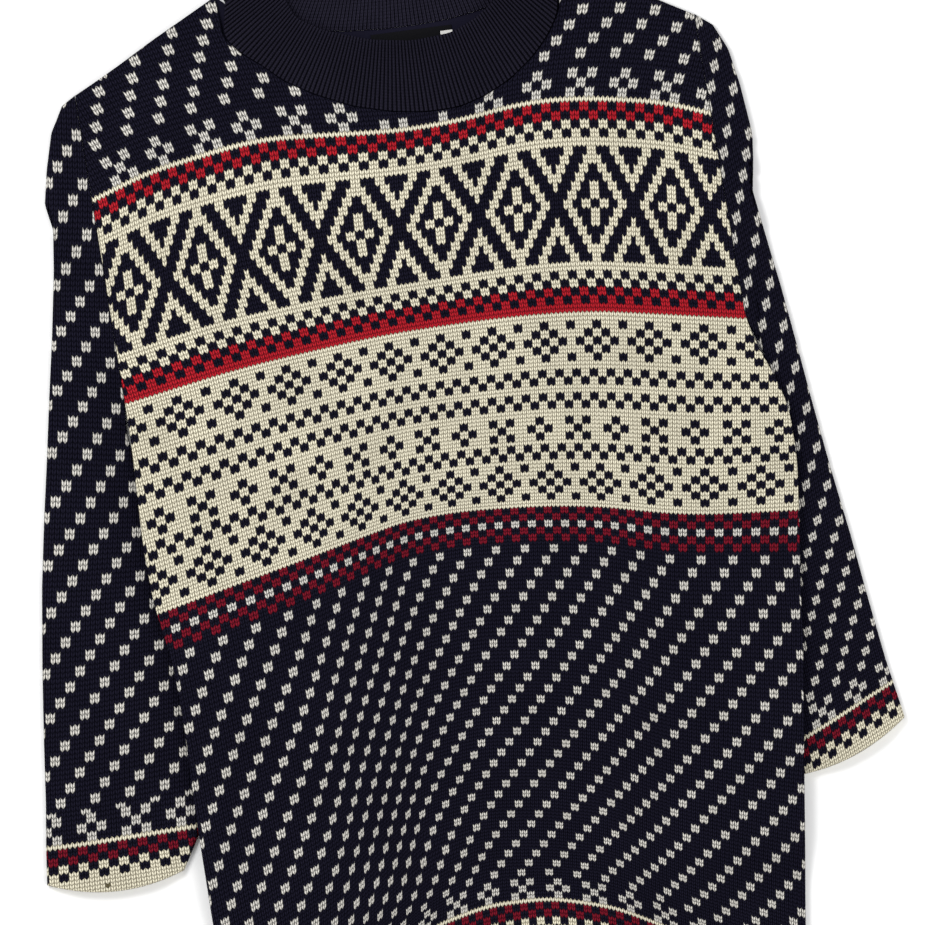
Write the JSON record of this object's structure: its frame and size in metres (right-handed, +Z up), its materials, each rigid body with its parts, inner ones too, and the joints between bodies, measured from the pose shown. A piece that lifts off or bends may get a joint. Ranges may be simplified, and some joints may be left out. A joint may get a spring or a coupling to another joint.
{
  "type": "norwegian sweater",
  "caption": "Knitted wool pullover laid flat, front up, with dropped sleeves, ribbed neckband and traditional Nordic bands over a speckled ground.",
  "frame": {"origin": "middle of the garment's box, on the surface that it lies on", "axes": "+Y towards the neck along the garment's middle, +X towards the wearer's left, +Z up out of the front"},
  "size_m": [0.6104, 0.812, 0.0165],
  "materials": {
    "navy_wool": "stranded wool knitting",
    "collar_wool": "ribbed wool knitting",
    "label_cloth": "woven tape",
    "tag_cloth": "woven tape"
  },
  "bodies": {
    "root": {"front": "navy_wool", "back": "navy_wool", "sleeve_right": "navy_wool", "sleeve_left": "navy_wool", "collar": "collar_wool", "neck_label": "label_cloth", "size_tag": "tag_cloth"}
  },
  "joints": []
}
